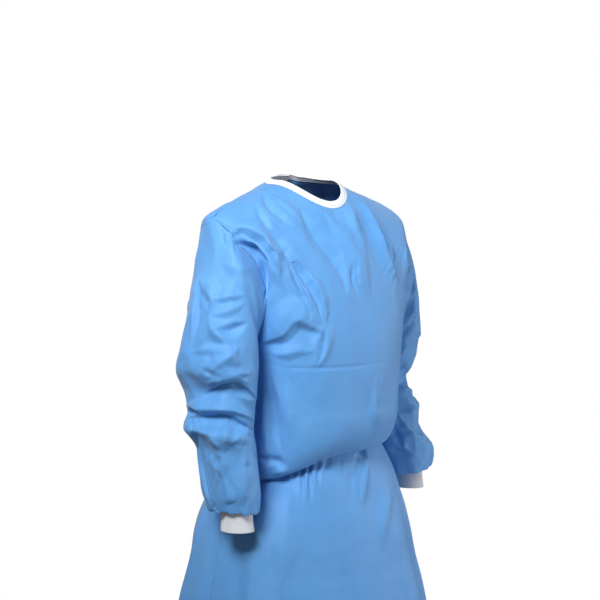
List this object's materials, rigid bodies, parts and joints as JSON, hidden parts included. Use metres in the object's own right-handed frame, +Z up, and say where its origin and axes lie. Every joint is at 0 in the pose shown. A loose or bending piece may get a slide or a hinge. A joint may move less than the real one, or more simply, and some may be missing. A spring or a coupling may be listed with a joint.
{
  "type": "surgical gown",
  "caption": "Long-sleeved protective gown in the pose it is worn in: hollow body bloused over a waist tie, set-in sleeves with knit cuffs, bound round neck and a lapped open back",
  "frame": {"origin": "midway between the two high points of the shoulders, where the neck opening meets the shoulder seams and the wearer's shoulders hold the gown up", "axes": "+Z up, the front faces -Y, the wearer's left arm is on +X"},
  "size_m": [0.5565, 0.4234, 1.2192],
  "materials": {
    "gown_cloth": "blue nonwoven cloth with a soft satin sheen and pressed creases",
    "neck_binding": "white folded nonwoven strip, matte",
    "cuff_knit": "white fine rib knit, matte"
  },
  "bodies": {
    "root": {"front_panel": "gown_cloth", "back_panel_left": "gown_cloth", "back_panel_right": "gown_cloth", "sleeve_left": "gown_cloth", "sleeve_right": "gown_cloth", "waist_tie": "gown_cloth", "tie_knot": "gown_cloth", "tie_tail_left": "gown_cloth", "tie_tail_right": "gown_cloth", "neck_tab": "gown_cloth", "neck_binding": "neck_binding", "cuff_left": "cuff_knit", "cuff_right": "cuff_knit"}
  },
  "joints": []
}
